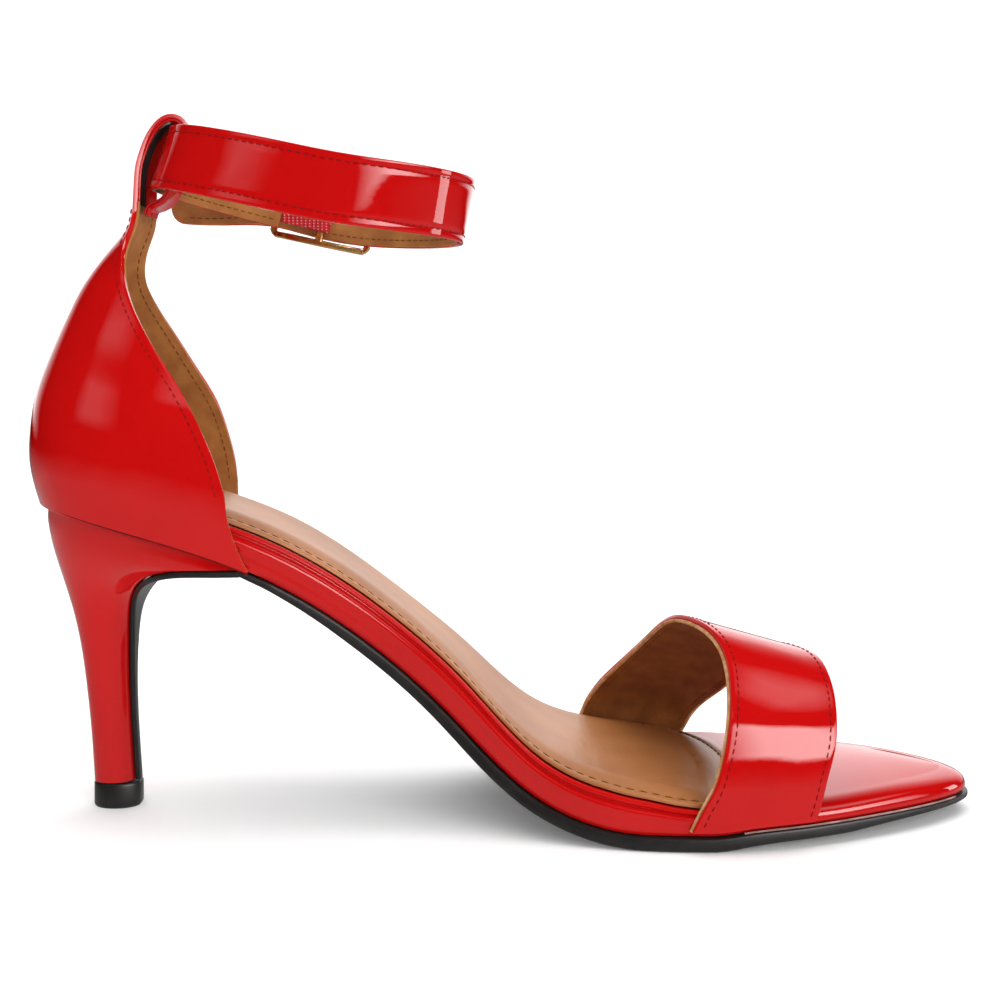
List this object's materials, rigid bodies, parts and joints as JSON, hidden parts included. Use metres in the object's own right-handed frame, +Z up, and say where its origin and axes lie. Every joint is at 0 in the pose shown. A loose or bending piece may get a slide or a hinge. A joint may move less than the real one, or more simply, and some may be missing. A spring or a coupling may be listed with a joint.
{
  "type": "strappy heeled sandal",
  "caption": "Patent ankle-strap sandal with a closed heel counter, one vamp strap, buckle and slim heel.",
  "frame": {"origin": "on the flat tread under the ball of the foot, on the floor plane", "axes": "+X towards the toe, +Y towards the outer side of the foot, +Z up"},
  "size_m": [0.2294, 0.0789, 0.1689],
  "materials": {
    "patent_red": "glossy red patent leather",
    "lining_tan": "smooth tan lining leather",
    "black_sole": "smooth black sole rubber",
    "gold_metal": "polished gold plating",
    "elastic_red": "ribbed red elastic webbing"
  },
  "bodies": {
    "root": {"outsole": "black_sole", "insole_board": "patent_red", "sock_lining": "lining_tan", "heel_block": "patent_red", "top_piece": "black_sole", "counter": "patent_red", "vamp_strap": "patent_red", "ankle_strap": "patent_red", "elastic": "elastic_red", "buckle_frame": "gold_metal", "buckle_prong": "gold_metal"}
  },
  "joints": []
}
